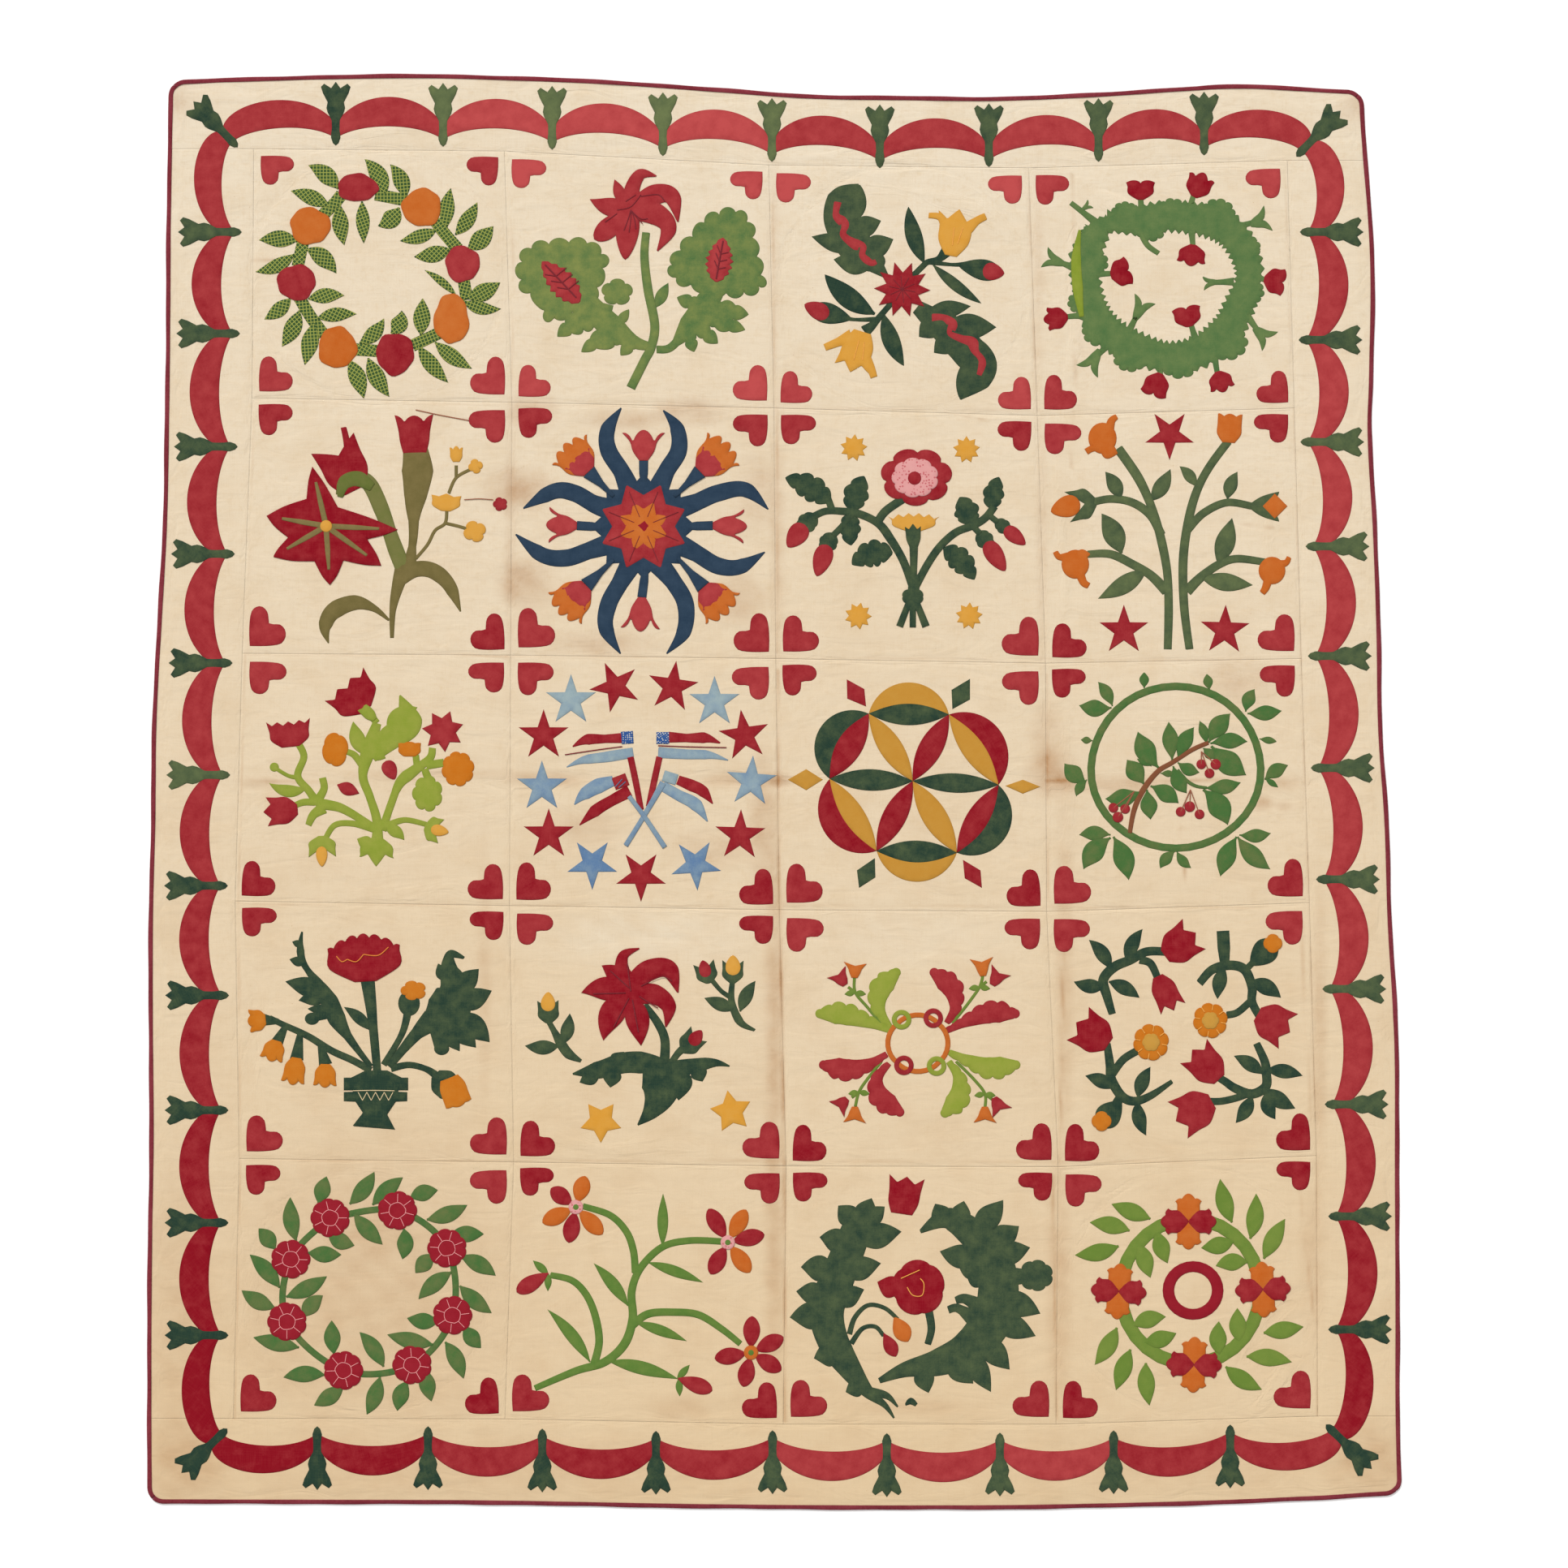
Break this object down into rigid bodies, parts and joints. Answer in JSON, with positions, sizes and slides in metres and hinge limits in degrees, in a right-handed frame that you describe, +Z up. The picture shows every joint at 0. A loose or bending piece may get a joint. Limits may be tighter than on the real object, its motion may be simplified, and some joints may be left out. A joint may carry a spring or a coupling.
{
  "type": "album quilt",
  "caption": "Large appliqued album quilt lying flat: flower, star and wreath blocks with corner hearts, a border garland of swags and tulips, and a narrow bound edge.",
  "frame": {"origin": "middle of the quilt's outline, on the surface that it lies on", "axes": "+X to the quilt's right, +Y to its top edge, +Z up from its face"},
  "size_m": [2.1636, 2.4765, 0.0052],
  "materials": {
    "muslin": "unbleached plain-weave cotton, hand quilted, aged and slightly stained",
    "binding_red": "dark red plain-weave cotton, folded over the edge",
    "turkey_red": "turkey red plain-weave cotton, faded in places"
  },
  "bodies": {
    "root": {"quilt_body": "muslin", "binding_top": "binding_red", "binding_right": "binding_red", "binding_bottom": "binding_red", "binding_left": "binding_red", "garland_top": "turkey_red", "garland_right": "turkey_red", "garland_bottom": "turkey_red", "garland_left": "turkey_red"}
  },
  "joints": []
}
